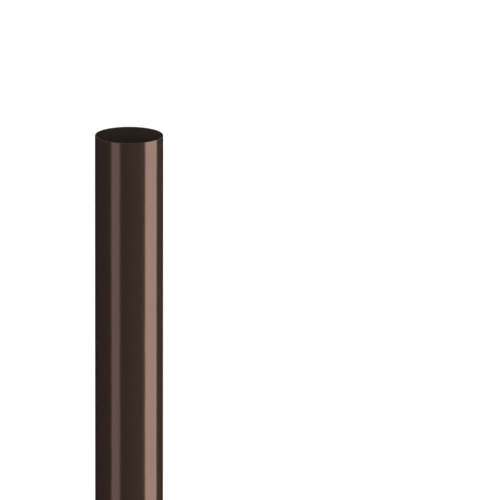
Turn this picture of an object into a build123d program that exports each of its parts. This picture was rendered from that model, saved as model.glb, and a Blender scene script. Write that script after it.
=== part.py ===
"""Round steel downpipe, one coated steel sheet formed into a tube.

It stands on its crimped lower end, where six pressed grooves and a small shoulder let it enter
the bore of the pipe below. The upper end is plain. The origin is the centre of the lower rim,
+Z runs up the pipe and -Y is the side that faces the room.
"""
from build123d import *
from math import atan, degrees, radians, sin, tan
import os

os.makedirs("parts", exist_ok=True)

# Tube, in millimetres
bore_radius = 50.0
sheet = 0.6
pipe_length = 1000.0

# Crimped end, which enters the bore of the next pipe
crimp_length = 58.0
insertion_clearance = 0.6
shoulder_height = 3.0

# Pressed grooves of the crimped end
groove_count = 6
groove_depth = 2.4
groove_floor_width = 10.8
groove_wall_angle = 63.0
groove_run_in = 0.5
groove_corner_radius = 1.5
bend_radius = 0.8
first_groove_angle = -110.3

# Seam of the rolled sheet, a fine line along the back
seam_width = 1.0
seam_depth = 0.2

outer_radius = bore_radius + sheet
crimp_radius = bore_radius - insertion_clearance
shoulder_step = outer_radius - crimp_radius
seam_angle = first_groove_angle + (groove_count // 2 + 0.5) * 360 / groove_count
overrun = 5.0
near = 0.01


def wall_line(inset, bottom, top):
    """Draw the wall from bottom to top, with the shoulder as two arcs, inset into the sheet."""
    turn = 2 * atan(shoulder_step / shoulder_height)
    blend_radius = shoulder_height / sin(turn) / 2
    foot = (crimp_radius - inset, crimp_length)
    Line((crimp_radius - inset, bottom), foot)
    inward = JernArc(foot, (0, 1), blend_radius + inset, -degrees(turn))
    outward = JernArc(inward @ 1, inward % 1, blend_radius - inset, degrees(turn))
    Line(outward @ 1, (outer_radius - inset, top))


def groove_cutter(inset):
    """One groove's hollow on the +X side, with its walls moved into the sheet by inset."""
    floor_distance = crimp_radius - groove_depth - inset
    spread = inset * tan(radians(groove_wall_angle / 2))
    floor_end = crimp_length + groove_run_in - groove_depth / tan(radians(groove_wall_angle))
    reach = groove_depth + inset + overrun
    with BuildPart() as cutter:
        for rise in (0, reach):
            flare = spread + rise / tan(radians(groove_wall_angle))
            mouth = Plane(origin=(floor_distance + rise, 0, 0), x_dir=(0, 1, 0), z_dir=(1, 0, 0))
            with BuildSketch(mouth):
                with Locations((0, floor_end + flare)):
                    Rectangle(
                        groove_floor_width + 2 * flare,
                        floor_end + 2 * flare + overrun,
                        align=(Align.CENTER, Align.MAX),
                    )
        loft()
        end_face = cutter.faces().sort_by(Axis.Z)[-1]
        corner_edges = end_face.edges().filter_by(lambda edge: abs((edge % 0.5).X) > near)
        fillet(corner_edges, groove_corner_radius + inset)
        floor_edges = cutter.faces().sort_by(Axis.X)[0].edges()
        fillet(floor_edges.filter_by(lambda edge: edge.center().Z > 0), bend_radius + inset)
    return cutter.part


def on_wall(point, wall_faces):
    """Is the point on the wall, above its lower rim?"""
    return point.Z > near and min(face.distance_to(point) for face in wall_faces) < near


def formed_shape(inset):
    """The solid inside one side of the sheet: its outer side at 0, its inner side at sheet."""
    cutter = groove_cutter(inset)
    with BuildPart() as shape:
        with BuildSketch(Plane.XZ):
            with BuildLine():
                wall_line(inset, 0, pipe_length)
                Polyline(
                    (outer_radius - inset, pipe_length),
                    (0, pipe_length),
                    (0, 0),
                    (crimp_radius - inset, 0),
                )
            make_face()
        revolve(axis=Axis.Z)
        wall_faces = shape.faces().filter_by(GeomType.PLANE, reverse=True)
        with PolarLocations(0, groove_count, start_angle=first_groove_angle):
            add(cutter, mode=Mode.SUBTRACT)
        groove_edges = shape.edges(Select.LAST)
        mouth_edges = groove_edges.filter_by(lambda edge: on_wall(edge @ 0.5, wall_faces))
        fillet(mouth_edges, bend_radius + sheet - inset)
    return shape.part


def seam_line():
    """The V-shaped line of the seam, swept up the outer side of the wall on the +X side."""
    half_width = seam_width / 2
    clear = seam_depth / 2
    with BuildPart() as line:
        with BuildLine(Plane.XZ) as path:
            wall_line(0, -overrun, pipe_length + overrun)
        with BuildSketch(Plane.XY.offset(-overrun)):
            with BuildLine():
                Polyline(
                    (crimp_radius - seam_depth, 0),
                    (crimp_radius + clear, half_width * (1 + clear / seam_depth)),
                    (crimp_radius + clear, -half_width * (1 + clear / seam_depth)),
                    close=True,
                )
            make_face()
        sweep(path=path.wires()[0])
    return line.part


with BuildPart() as downpipe:
    add(formed_shape(0))
    add(formed_shape(sheet), mode=Mode.SUBTRACT)
    with PolarLocations(0, 1, start_angle=seam_angle):
        add(seam_line(), mode=Mode.SUBTRACT)

downpipe.part.label = "downpipe"
export_step(downpipe.part, "parts/downpipe.step")
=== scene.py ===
"""Looks of the steel downpipe: coated sheet, cut rims, pale floor and soft studio light."""
from math import asin, atan, cos, pi, radians, sin, tan

import bpy
from mathutils import Matrix, Vector


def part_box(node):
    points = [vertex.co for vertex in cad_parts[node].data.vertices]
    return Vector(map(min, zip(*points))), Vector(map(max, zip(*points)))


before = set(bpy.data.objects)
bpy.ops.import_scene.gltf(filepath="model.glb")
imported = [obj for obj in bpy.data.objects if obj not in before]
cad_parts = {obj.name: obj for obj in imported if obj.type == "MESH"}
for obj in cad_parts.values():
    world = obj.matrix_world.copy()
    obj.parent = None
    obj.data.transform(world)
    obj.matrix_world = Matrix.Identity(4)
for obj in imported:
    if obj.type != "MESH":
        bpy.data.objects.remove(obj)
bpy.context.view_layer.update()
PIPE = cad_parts["downpipe"]
PIPE_LOW, PIPE_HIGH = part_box("downpipe")
PIPE_WIDTH = PIPE_HIGH[0] - PIPE_LOW[0]
PIPE_FOOT = PIPE_LOW[2]
PIPE_TOP = PIPE_HIGH[2]

# The photograph: its frame, and the pipe's plain end in it, in pixels
PHOTO_SIZE = 500
WIDTH_PX = 68.3  # it measures 67.86, but a render's soft edges fall just inside its outline
RIM_CENTRE_PX = (129.08, 135.1)
RIM_ASPECT = 0.245

# Camera, in millimetres
LENS = 1000.0
SENSOR = 36.0

# Coated sheet, its back coat in the bore, made lighter than the coat as painted light in the bore's
# shade, and its cut rims, in linear colours
COAT = (0.038, 0.0242, 0.0186, 1)
COAT_TINT = (1.0, 0.62, 0.52, 1)
COAT_ROUGHNESS = 0.15
# back coat: a lighter, greyer copy of the coat's brown, painted light that lifts the shade inside
# the bore
BACK_COAT_PAINTED_LIGHT = (0.054, 0.0386, 0.0331, 1)
CUT_EDGE = (0.034, 0.029, 0.026, 1)
CUT_ROUGHNESS = 0.5
CUT_DEPTH = 0.00008

# Texture of the coat: features in each metre, and how far they change the coat or stand out
MOTTLE_SCALE = (45.0, 45.0, 45.0)
MOTTLE_SHARE = 0.05
STREAK_SCALE = (260.0, 260.0, 5.0)
STREAK_ROUGHNESS = 0.02
WAVE_SCALE = (9.0, 9.0, 9.0)
WAVE_HEIGHT = 0.0004
PEEL_SCALE = (700.0, 700.0, 700.0)
PEEL_HEIGHT = 0.00001
NOISE_DETAIL = 2.0
NOISE_LOW = 0.25
NOISE_HIGH = 0.75

# Sky and floor: the level that lights the pipe, and the level that shows as white behind it
SKY = 0.86
SKY_SHOWN = 1.0
FLOOR = 0.7
FLOOR_SHOWN = 1.2
FLOOR_REACH = 40.0

# Key lamp. Directions, here and below, are in degrees to the right of the photograph's camera.
KEY_POWER = 92.0
KEY_SIDE = 80.0
KEY_DISTANCE = 4.0
KEY_SIZE = 1.0

# Curtain round the pipe. Its gradient wraps opposite its middle, clear of every softbox.
CURTAIN_RADIUS = 1.6
CURTAIN_LOW = -1.5
CURTAIN_HIGH = 3.0
CURTAIN_MIDDLE = 60.0
CURTAIN_FACES = 180

# Softboxes in the curtain: the directions of their sides, and their strength at each side
DIM = 0.12  # strength of the front softbox, and of the flags that must not show against it
LEFT_SOFTBOX = {"from": -61.0, "to": -30.5, "strengths": (2.3, 2.3)}
FRONT_SOFTBOX = {"from": -30.5, "to": 56.0, "strengths": (DIM, DIM)}
RIGHT_SOFTBOX = {"from": 56.0, "to": 105.6, "strengths": (7.1, 4.8)}
BACK_SOFTBOX = {"from": 174.0, "to": 186.0, "strengths": (1.5, 1.5)}
SOFTBOX_EDGE = 4.0
PLAIN_LIGHT = (1.0, 1.0, 1.0, 1)
WARM_LIGHT = (1.0, 0.88, 0.82, 1)

# Upright flags: the direction in which each stands, and how far from the pipe's axis it starts
UPRIGHT_FLAGS = (
    {"name": "front_flag", "side": 0.0, "start": 0.057, "strength": DIM},
    {"name": "corner_flag", "side": 20.0, "start": 0.052, "strength": DIM},
    {"name": "right_flag", "side": 110.0, "start": 0.055, "strength": 0.0},
    {"name": "left_flag", "side": -100.0, "start": 0.0515, "strength": 0.0},
)


class NodeTree:
    """The emptied node tree of a material or a world, with short ways to add nodes to it."""

    def __init__(self, owner):
        owner.use_nodes = True
        self.nodes = owner.node_tree.nodes
        self.links = owner.node_tree.links
        self.nodes.clear()

    def feed(self, socket, value):
        """Link an input to another node's output, or give it a plain value."""
        if isinstance(value, bpy.types.NodeSocket):
            self.links.new(value, socket)
        else:
            socket.default_value = value

    def add(self, kind, settings=None, inputs=None):
        """Add a node, set its properties and feed its named inputs."""
        made = self.nodes.new(kind)
        for key, value in (settings or {}).items():
            setattr(made, key, value)
        for key, value in (inputs or {}).items():
            self.feed(made.inputs[key], value)
        return made

    def work_out(self, kind, operation, one, other):
        """The outcome of an operation on two values, whose inputs may share a name."""
        made = self.add(kind, {"operation": operation})
        in_use = [socket for socket in made.inputs if socket.enabled]
        for socket, value in zip(in_use, (one, other)):
            self.feed(socket, value)
        return next(socket for socket in made.outputs if socket.enabled)

    def math(self, operation, one, other):
        """The outcome of an operation on two numbers."""
        return self.work_out("ShaderNodeMath", operation, one, other)

    def vector_math(self, operation, one, other):
        """The outcome of an operation on two vectors, or on a vector and a number."""
        return self.work_out("ShaderNodeVectorMath", operation, one, other)

    def mix(self, share, low, high, kind="RGBA"):
        """A colour, or with FLOAT a number, that goes from low to high with share."""
        inputs = {"Factor": share, "A": low, "B": high}
        return self.add("ShaderNodeMix", {"data_type": kind}, inputs).outputs["Result"]

    def spread(self, value, low, high, first, last, style="LINEAR"):
        """A number that goes from first to last as value goes from low to high."""
        made = self.add("ShaderNodeMapRange", {"interpolation_type": style}, {
            "Value": value,
            "From Min": low,
            "From Max": high,
            "To Min": first,
            "To Max": last,
        })
        return made.outputs["Result"]


def new_material(name):
    """A material, and its empty node tree."""
    material = bpy.data.materials.new(name)
    return material, NodeTree(material)


def grey(level):
    """A grey of this level in red, green and blue."""
    return (level, level, level, 1)


def towards(side):
    """The level direction at so many degrees to the right of the photograph's camera."""
    return Vector((sin(radians(side)), -cos(radians(side)), 0))


def add_camera():
    """Look at the plain end as the photograph does, with the pipe upright in the picture."""
    focal_px = LENS / SENSOR * PHOTO_SIZE
    across = (RIM_CENTRE_PX[0] - PHOTO_SIZE / 2) / focal_px
    up = (PHOTO_SIZE / 2 - RIM_CENTRE_PX[1]) / focal_px
    distance = focal_px * PIPE_WIDTH / WIDTH_PX
    elevation = asin(RIM_ASPECT) + atan(up)
    roll = -atan(across * tan(elevation))
    turn = Matrix.Rotation(pi / 2 - elevation, 3, "X") @ Matrix.Rotation(roll, 3, "Z")
    place = Vector((0, 0, PIPE_TOP)) - distance * (turn @ Vector((across, up, -1)))
    camera = bpy.data.objects.new("camera", bpy.data.cameras.new("camera"))
    bpy.context.collection.objects.link(camera)
    camera.data.lens = LENS
    camera.data.sensor_width = SENSOR
    camera.data.clip_end = 2 * distance + FLOOR_REACH
    camera.matrix_world = Matrix.Translation(place) @ turn.to_4x4()
    bpy.context.scene.camera = camera


def noise(tree, place, scale, low, high):
    """A smooth noise over the surface, between low and high."""
    stretched = tree.add("ShaderNodeMapping", inputs={"Vector": place, "Scale": scale})
    made = tree.add("ShaderNodeTexNoise", inputs={
        "Vector": stretched.outputs["Vector"],
        "Scale": 1.0,
        "Detail": NOISE_DETAIL,
    })
    return tree.spread(made.outputs["Fac"], NOISE_LOW, NOISE_HIGH, low, high)


def cut_mask(tree, place):
    """1 on the cut rims at both ends of the sheet, 0 on its coated faces."""
    height = tree.add("ShaderNodeSeparateXYZ", inputs={"Vector": place}).outputs["Z"]
    at_top = tree.math("GREATER_THAN", height, PIPE_TOP - CUT_DEPTH)
    at_foot = tree.math("LESS_THAN", height, PIPE_FOOT + CUT_DEPTH)
    return tree.math("MAXIMUM", at_top, at_foot)


def bore_mask(tree, place):
    """1 on the faces of the sheet that look inward, at the pipe's axis, and 0 outside: where the
    lighter back coat paints light into the bore's shade.
    """
    normal = tree.add("ShaderNodeNewGeometry").outputs["True Normal"]
    outward = tree.vector_math("MULTIPLY", place, (1, 1, 0))
    return tree.math("LESS_THAN", tree.vector_math("DOT_PRODUCT", outward, normal), 0.0)


def coat_colour(tree, place, cut):
    """The coat, and the back coat made lighter as painted light in the shaded bore, with a faint
    mottle, and the cut rims.
    """
    # inside the bore the lighter back coat stands in for light: painted light in the bore's shade
    coat = tree.mix(bore_mask(tree, place), COAT, BACK_COAT_PAINTED_LIGHT)
    shade = noise(tree, place, MOTTLE_SCALE, 1 - MOTTLE_SHARE, 1 + MOTTLE_SHARE)
    return tree.mix(cut, tree.vector_math("SCALE", coat, shade), CUT_EDGE)


def coat_roughness(tree, place, cut):
    """Satin, with faint streaks along the pipe from the forming rolls, and dull on the cut rims."""
    low, high = COAT_ROUGHNESS - STREAK_ROUGHNESS, COAT_ROUGHNESS + STREAK_ROUGHNESS
    return tree.mix(cut, noise(tree, place, STREAK_SCALE, low, high), CUT_ROUGHNESS, "FLOAT")


def coat_relief(tree, place):
    """Orange peel over the slow waves of a thin rolled sheet."""
    waves = tree.add("ShaderNodeBump", inputs={
        "Height": noise(tree, place, WAVE_SCALE, 0.0, 1.0),
        "Distance": WAVE_HEIGHT,
    })
    peel = tree.add("ShaderNodeBump", inputs={
        "Height": noise(tree, place, PEEL_SCALE, 0.0, 1.0),
        "Distance": PEEL_HEIGHT,
        "Normal": waves.outputs["Normal"],
    })
    return peel.outputs["Normal"]


def coated_steel():
    """Satin brown coil coating on thin rolled sheet."""
    material, tree = new_material("coated_steel")
    place = tree.add("ShaderNodeTexCoord").outputs["Object"]
    cut = cut_mask(tree, place)
    shader = tree.add("ShaderNodeBsdfPrincipled", inputs={
        "Base Color": coat_colour(tree, place, cut),
        "Roughness": coat_roughness(tree, place, cut),
        "Specular Tint": COAT_TINT,
        "Normal": coat_relief(tree, place),
    })
    tree.add("ShaderNodeOutputMaterial", inputs={"Surface": shader.outputs["BSDF"]})
    return material


def dress_pipe():
    """Give the formed sheet its material in place of the plain one."""
    material = coated_steel()
    for slot in PIPE.material_slots:
        slot.material = material


def seen_ray(tree):
    """1 for a ray that shows the background: from the camera, a reflection or through glass."""
    ray = tree.add("ShaderNodeLightPath").outputs
    seen = tree.math("MAXIMUM", ray["Is Camera Ray"], ray["Is Glossy Ray"])
    return tree.math("MAXIMUM", seen, ray["Is Transmission Ray"])


def add_world():
    """An even sky, shown as white."""
    world = bpy.data.worlds.new("studio")
    tree = NodeTree(world)
    colour = tree.mix(seen_ray(tree), grey(SKY), grey(SKY_SHOWN))
    background = tree.add("ShaderNodeBackground", inputs={"Color": colour})
    tree.add("ShaderNodeOutputWorld", inputs={"Surface": background.outputs["Background"]})
    bpy.context.scene.world = world


def add_floor():
    """A pale floor that shows as white away from the pipe's shadow."""
    material, tree = new_material("floor")
    colour = tree.mix(seen_ray(tree), grey(FLOOR), grey(FLOOR_SHOWN))
    shader = tree.add("ShaderNodeBsdfDiffuse", inputs={"Color": colour})
    tree.add("ShaderNodeOutputMaterial", inputs={"Surface": shader.outputs["BSDF"]})
    bpy.ops.mesh.primitive_plane_add(size=2 * FLOOR_REACH, location=(0, 0, PIPE_FOOT))
    floor = bpy.context.object
    floor.name = "floor"
    floor.data.materials.append(material)
    floor.visible_glossy = False


def add_key():
    """One lamp to the right, as high as the pipe and level with it, so that it keeps out of the
    bore."""
    lamp = bpy.data.lights.new("key", "AREA")
    lamp.energy = KEY_POWER
    lamp.size = KEY_SIZE
    key = bpy.data.objects.new("key", lamp)
    bpy.context.collection.objects.link(key)
    away = towards(KEY_SIDE)
    key.location = KEY_DISTANCE * away + Vector((0, 0, PIPE_TOP / 2))
    key.rotation_euler = away.to_track_quat("Z", "Y").to_euler()
    key.visible_glossy = False


def show_only_in_gloss(piece):
    """Hide a piece of the studio from every ray but those that the pipe mirrors."""
    for way in ("camera", "diffuse", "transmission", "volume_scatter", "shadow"):
        setattr(piece, f"visible_{way}", False)


def ramp(tree, round_way, start, end, first, last):
    """A number that goes from first to last between two directions round the curtain."""
    low, high = (0.5 + (side - CURTAIN_MIDDLE) / 360 for side in (start, end))
    return tree.spread(round_way, low, high, first, last, "SMOOTHSTEP")


def softbox(tree, round_way, box):
    """The light of one softbox, an upright stripe of the curtain with soft edges."""
    light = ramp(tree, round_way, box["from"], box["to"], *box["strengths"])
    for side, inward in ((box["from"], 1), (box["to"], -1)):
        start = side - inward * SOFTBOX_EDGE / 2
        edge = ramp(tree, round_way, start, start + inward * SOFTBOX_EDGE, 0.0, 1.0)
        light = tree.math("MULTIPLY", light, edge)
    return light


def curtain_material():
    """Black cloth with the softboxes in it, whose light turns warm across the right one."""
    material, tree = new_material("curtain")
    turn = tree.add("ShaderNodeMapping", inputs={
        "Vector": tree.add("ShaderNodeTexCoord").outputs["Object"],
        "Rotation": (0, 0, pi / 2 - radians(CURTAIN_MIDDLE)),
    })
    gradient = tree.add(
        "ShaderNodeTexGradient",
        {"gradient_type": "RADIAL"},
        {"Vector": turn.outputs["Vector"]},
    )
    round_way = gradient.outputs["Fac"]
    light = 0.0
    for box in (LEFT_SOFTBOX, FRONT_SOFTBOX, RIGHT_SOFTBOX, BACK_SOFTBOX):
        light = tree.math("ADD", softbox(tree, round_way, box), light)
    warmth = ramp(tree, round_way, RIGHT_SOFTBOX["from"], RIGHT_SOFTBOX["to"], 0.0, 1.0)
    shader = tree.add("ShaderNodeEmission", inputs={
        "Color": tree.mix(warmth, PLAIN_LIGHT, WARM_LIGHT),
        "Strength": light,
    })
    tree.add("ShaderNodeOutputMaterial", inputs={"Surface": shader.outputs["Emission"]})
    return material


def add_curtain():
    """A round curtain that only the pipe's gloss shows, well past its ends."""
    bpy.ops.mesh.primitive_cylinder_add(
        vertices=CURTAIN_FACES,
        radius=CURTAIN_RADIUS,
        depth=CURTAIN_HIGH - CURTAIN_LOW,
        end_fill_type="NOTHING",
        location=(0, 0, (CURTAIN_HIGH + CURTAIN_LOW) / 2),
    )
    curtain = bpy.context.object
    curtain.name = "curtain"
    curtain.data.materials.append(curtain_material())
    show_only_in_gloss(curtain)


def cloth(name, strength):
    """Cloth that sends a little light, or none, to the pipe's gloss."""
    material, tree = new_material(name)
    shader = tree.add("ShaderNodeEmission", inputs={"Strength": strength})
    tree.add("ShaderNodeOutputMaterial", inputs={"Surface": shader.outputs["Emission"]})
    return material


def add_flag(name, corners, strength):
    """A flag between four corners that only the pipe's gloss shows."""
    mesh = bpy.data.meshes.new(name)
    mesh.from_pydata(corners, [], [range(len(corners))])
    mesh.materials.append(cloth(name, strength))
    flag = bpy.data.objects.new(name, mesh)
    bpy.context.collection.objects.link(flag)
    show_only_in_gloss(flag)


def add_flags():
    """A black flag under the curtain, so that the faces that look down reflect a dark studio, and
    upright ones beside the pipe, so that no softbox glares at a flat angle along its far side."""
    reach = CURTAIN_RADIUS
    square = ((-reach, -reach), (reach, -reach), (reach, reach), (-reach, reach))
    add_flag("low_flag", [(x, y, CURTAIN_LOW) for x, y in square], 0.0)
    low, high = Vector((0, 0, CURTAIN_LOW)), Vector((0, 0, CURTAIN_HIGH))
    for flag in UPRIGHT_FLAGS:
        away = towards(flag["side"])
        near, far = flag["start"] * away, reach * away
        corners = [near + low, far + low, far + high, near + high]
        add_flag(flag["name"], corners, flag["strength"])


bpy.context.scene.view_settings.view_transform = "Standard"
add_camera()
add_world()
add_floor()
add_key()
add_curtain()
add_flags()
dress_pipe()
